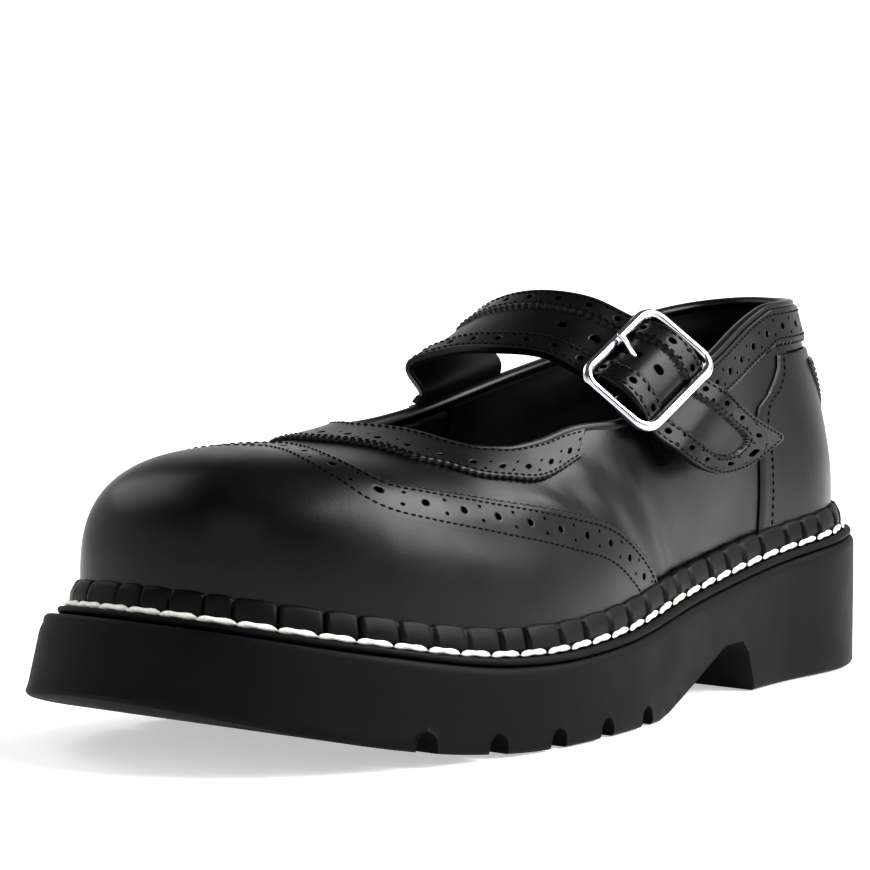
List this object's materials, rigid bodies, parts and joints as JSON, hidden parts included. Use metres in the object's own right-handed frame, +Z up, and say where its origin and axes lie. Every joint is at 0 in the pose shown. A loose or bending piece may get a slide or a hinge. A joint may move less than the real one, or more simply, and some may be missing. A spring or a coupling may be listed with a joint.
{
  "type": "brogue mary jane shoe",
  "caption": "Left wing-tip brogue shoe with a buckled instep strap, welted upper and thick lugged rubber sole; strap, buckle and prong move.",
  "frame": {"origin": "middle of the part's box, on the ground under the sole", "axes": "+Z up; the toe points along -Y and the heel along +Y; +X is the outer side, with the buckle"},
  "size_m": [0.1156, 0.3058, 0.1143],
  "materials": {
    "black_rubber": "matte moulded",
    "black_leather": "smooth satin",
    "lining_leather": "matte",
    "white_thread": "waxed thread",
    "chrome_wire": "polished",
    "cork": "ground cork",
    "fibre_board": "pressed fibre",
    "spring_steel": "brushed",
    "stiffener_sheet": "matte",
    "padding_foam": "open foam"
  },
  "bodies": {
    "shoe": {"outsole": "black_rubber", "welt": "black_rubber", "rand": "black_leather", "vamp": "black_leather", "wing_cap": "black_leather", "quarter_outer": "black_leather", "quarter_inner": "black_leather", "heel_counter_cover": "black_leather", "heel_tab": "black_leather", "backstay": "black_leather", "collar_band_outer": "black_leather", "collar_band_inner": "black_leather", "throat_band": "black_leather", "topline_binding": "black_leather", "strap_root": "black_leather", "buckle_tab": "black_leather", "vamp_lining": "lining_leather", "quarter_lining": "lining_leather", "sock_liner": "lining_leather", "welt_thread": "white_thread", "cork_filler": "cork", "insole_board": "fibre_board", "steel_shank": "spring_steel", "toe_puff": "stiffener_sheet", "heel_stiffener": "stiffener_sheet", "collar_padding": "padding_foam"},
    "strap": {"strap": "black_leather", "strap_lining": "lining_leather"},
    "buckle": {"buckle_frame": "chrome_wire"},
    "prong": {"buckle_prong": "chrome_wire"}
  },
  "joints": [
    {"name": "strap_open", "type": "hinge", "parent": "shoe", "child": "strap", "pos_m": [-0.0289, 0.01483, 0.0847], "axis": [-0.0196, -0.9835, -0.18], "range_deg": [0, 105], "deforming": ["strap", "strap_lining"]},
    {"name": "buckle_swing", "type": "hinge", "parent": "shoe", "child": "buckle", "pos_m": [0.03027, 0.02334, 0.09241], "axis": [0, 0.88, 0.475], "range_deg": [-30, 3]},
    {"name": "prong_lift", "type": "hinge", "parent": "buckle", "child": "prong", "pos_m": [0.03027, 0.02334, 0.09241], "axis": [0, 0.88, 0.475], "range_deg": [0, 40]}
  ],
  "couplings": [
    {"joint": "buckle_swing", "follows": "strap_open", "ratio": -0.25}
  ]
}
